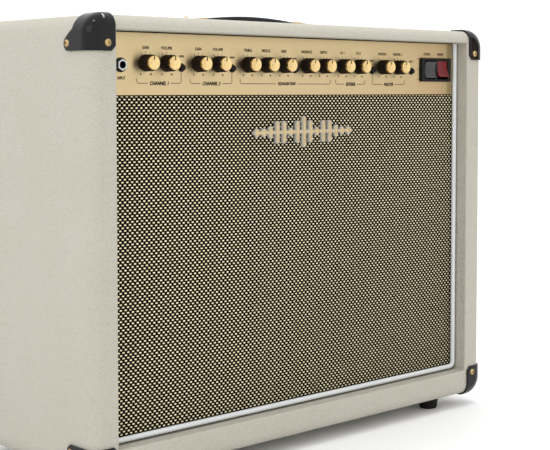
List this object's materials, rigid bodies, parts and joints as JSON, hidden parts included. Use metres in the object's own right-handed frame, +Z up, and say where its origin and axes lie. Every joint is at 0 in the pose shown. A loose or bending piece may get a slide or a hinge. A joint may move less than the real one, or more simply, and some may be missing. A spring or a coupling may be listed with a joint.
{
  "type": "guitar combo amplifier",
  "caption": "Open-backed valve guitar combo amplifier with a gold control panel, turning knobs, woven speaker cloth, corner caps and a strap handle.",
  "frame": {"origin": "on the floor under the middle of the cabinet, at the level of the foot soles", "axes": "+X to the right as seen from the front, along the width; +Y from the front to the back; +Z up"},
  "size_m": [0.6246, 0.2566, 0.502],
  "materials": {
    "vinyl": "cream grained vinyl over plywood",
    "wood": "plain plywood, stained dark at the front",
    "cloth": "woven black cloth with cream flecks",
    "piping": "light grey extruded piping",
    "badge": "white face with a gold edge",
    "corner_plastic": "moulded black, semi-gloss",
    "rubber": "matt black",
    "strap": "moulded black grip",
    "brass": "satin brass plating",
    "gold_panel": "gold anodised, lightly brushed",
    "steel": "zinc plated sheet",
    "basket": "black pressed steel",
    "knob_plastic": "black fluted body with a turned gold cap",
    "switch_plastic": "black",
    "grey_plastic": "dark grey",
    "red_plastic": "translucent red",
    "circuit_board": "green solder mask",
    "transformer": "black lacquered laminations",
    "magnet": "ferrite ring between steel plates",
    "valve_glass": "clear glass over a moulded base",
    "cone_paper": "pressed dark paper"
  },
  "bodies": {
    "cabinet": {"cabinet_top": "vinyl", "cabinet_bottom": "vinyl", "cabinet_side_left": "vinyl", "cabinet_side_right": "vinyl", "back_panel_upper": "vinyl", "back_panel_lower": "vinyl", "baffle_board": "wood", "grille_cloth": "cloth", "grille_piping": "piping", "badge": "badge", "corner_top_front_left": "corner_plastic", "corner_bottom_front_left": "corner_plastic", "corner_top_rear_left": "corner_plastic", "corner_bottom_rear_left": "corner_plastic", "corner_top_front_right": "corner_plastic", "corner_bottom_front_right": "corner_plastic", "corner_top_rear_right": "corner_plastic", "corner_bottom_rear_right": "corner_plastic", "foot_front_left": "rubber", "foot_rear_left": "rubber", "foot_front_right": "rubber", "foot_rear_right": "rubber", "handle_strap": "strap", "handle_cap_left": "brass", "handle_cap_right": "brass", "control_panel": "gold_panel", "chassis": "steel", "speaker_basket": "basket", "input_jack": "switch_plastic", "switch_bezel": "switch_plastic", "mains_inlet": "switch_plastic", "control_circuit_board": "circuit_board", "main_circuit_board": "circuit_board", "power_transformer": "transformer", "output_transformer": "transformer", "speaker_magnet": "magnet", "power_valve_left": "valve_glass", "power_valve_right": "valve_glass"},
    "knob_channel1_gain": {"knob_channel1_gain": "knob_plastic"},
    "knob_channel1_volume": {"knob_channel1_volume": "knob_plastic"},
    "knob_channel2_gain": {"knob_channel2_gain": "knob_plastic"},
    "knob_channel2_volume": {"knob_channel2_volume": "knob_plastic"},
    "knob_treble": {"knob_treble": "knob_plastic"},
    "knob_middle": {"knob_middle": "knob_plastic"},
    "knob_bass": {"knob_bass": "knob_plastic"},
    "knob_presence": {"knob_presence": "knob_plastic"},
    "knob_depth": {"knob_depth": "knob_plastic"},
    "knob_reverb1": {"knob_reverb1": "knob_plastic"},
    "knob_reverb2": {"knob_reverb2": "knob_plastic"},
    "knob_master1": {"knob_master1": "knob_plastic"},
    "knob_master2": {"knob_master2": "knob_plastic"},
    "button_channel1_mode": {"button_channel1_mode": "switch_plastic"},
    "button_channel2_mode": {"button_channel2_mode": "switch_plastic"},
    "button_tone_shift": {"button_tone_shift": "switch_plastic"},
    "button_channel_select": {"button_channel_select": "switch_plastic"},
    "button_master_select": {"button_master_select": "switch_plastic"},
    "output_rocker": {"output_rocker": "grey_plastic"},
    "power_rocker": {"power_rocker": "red_plastic"},
    "speaker_cone": {"speaker_cone": "cone_paper", "speaker_dust_cap": "cone_paper"}
  },
  "joints": [
    {"name": "channel1_gain_turn", "type": "hinge", "parent": "cabinet", "child": "knob_channel1_gain", "pos_m": [-0.2283, -0.1083, 0.442], "axis": [0, 1, 0], "range_deg": [-150, 150]},
    {"name": "channel1_volume_turn", "type": "hinge", "parent": "cabinet", "child": "knob_channel1_volume", "pos_m": [-0.2007, -0.1083, 0.442], "axis": [0, 1, 0], "range_deg": [-150, 150]},
    {"name": "channel2_gain_turn", "type": "hinge", "parent": "cabinet", "child": "knob_channel2_gain", "pos_m": [-0.1575, -0.1083, 0.442], "axis": [0, 1, 0], "range_deg": [-150, 150]},
    {"name": "channel2_volume_turn", "type": "hinge", "parent": "cabinet", "child": "knob_channel2_volume", "pos_m": [-0.1299, -0.1083, 0.442], "axis": [0, 1, 0], "range_deg": [-150, 150]},
    {"name": "treble_turn", "type": "hinge", "parent": "cabinet", "child": "knob_treble", "pos_m": [-0.0863, -0.1083, 0.442], "axis": [0, 1, 0], "range_deg": [-150, 150]},
    {"name": "middle_turn", "type": "hinge", "parent": "cabinet", "child": "knob_middle", "pos_m": [-0.0587, -0.1083, 0.442], "axis": [0, 1, 0], "range_deg": [-150, 150]},
    {"name": "bass_turn", "type": "hinge", "parent": "cabinet", "child": "knob_bass", "pos_m": [-0.0311, -0.1083, 0.442], "axis": [0, 1, 0], "range_deg": [-150, 150]},
    {"name": "presence_turn", "type": "hinge", "parent": "cabinet", "child": "knob_presence", "pos_m": [0.0052, -0.1083, 0.442], "axis": [0, 1, 0], "range_deg": [-150, 150]},
    {"name": "depth_turn", "type": "hinge", "parent": "cabinet", "child": "knob_depth", "pos_m": [0.0328, -0.1083, 0.442], "axis": [0, 1, 0], "range_deg": [-150, 150]},
    {"name": "reverb1_turn", "type": "hinge", "parent": "cabinet", "child": "knob_reverb1", "pos_m": [0.0646, -0.1083, 0.442], "axis": [0, 1, 0], "range_deg": [-150, 150]},
    {"name": "reverb2_turn", "type": "hinge", "parent": "cabinet", "child": "knob_reverb2", "pos_m": [0.0922, -0.1083, 0.442], "axis": [0, 1, 0], "range_deg": [-150, 150]},
    {"name": "master1_turn", "type": "hinge", "parent": "cabinet", "child": "knob_master1", "pos_m": [0.1355, -0.1083, 0.442], "axis": [0, 1, 0], "range_deg": [-150, 150]},
    {"name": "master2_turn", "type": "hinge", "parent": "cabinet", "child": "knob_master2", "pos_m": [0.1631, -0.1083, 0.442], "axis": [0, 1, 0], "range_deg": [-150, 150]},
    {"name": "channel1_mode_press", "type": "slide", "parent": "cabinet", "child": "button_channel1_mode", "axis": [0, 1, 0], "range_m": [0, 0.0025], "stiffness_N_per_m": 150},
    {"name": "channel2_mode_press", "type": "slide", "parent": "cabinet", "child": "button_channel2_mode", "axis": [0, 1, 0], "range_m": [0, 0.0025], "stiffness_N_per_m": 150},
    {"name": "tone_shift_press", "type": "slide", "parent": "cabinet", "child": "button_tone_shift", "axis": [0, 1, 0], "range_m": [0, 0.0025], "stiffness_N_per_m": 150},
    {"name": "channel_select_press", "type": "slide", "parent": "cabinet", "child": "button_channel_select", "axis": [0, 1, 0], "range_m": [0, 0.0025], "stiffness_N_per_m": 150},
    {"name": "master_select_press", "type": "slide", "parent": "cabinet", "child": "button_master_select", "axis": [0, 1, 0], "range_m": [0, 0.0025], "stiffness_N_per_m": 150},
    {"name": "output_tip", "type": "hinge", "parent": "cabinet", "child": "output_rocker", "pos_m": [0.223, -0.106, 0.4397], "axis": [1, 0, 0], "range_deg": [-12, 12]},
    {"name": "power_tip", "type": "hinge", "parent": "cabinet", "child": "power_rocker", "pos_m": [0.247, -0.106, 0.4397], "axis": [1, 0, 0], "range_deg": [0, 24]},
    {"name": "cone_travel", "type": "slide", "parent": "cabinet", "child": "speaker_cone", "axis": [0, 1, 0], "range_m": [-0.003, 0.003], "stiffness_N_per_m": 3000}
  ]
}
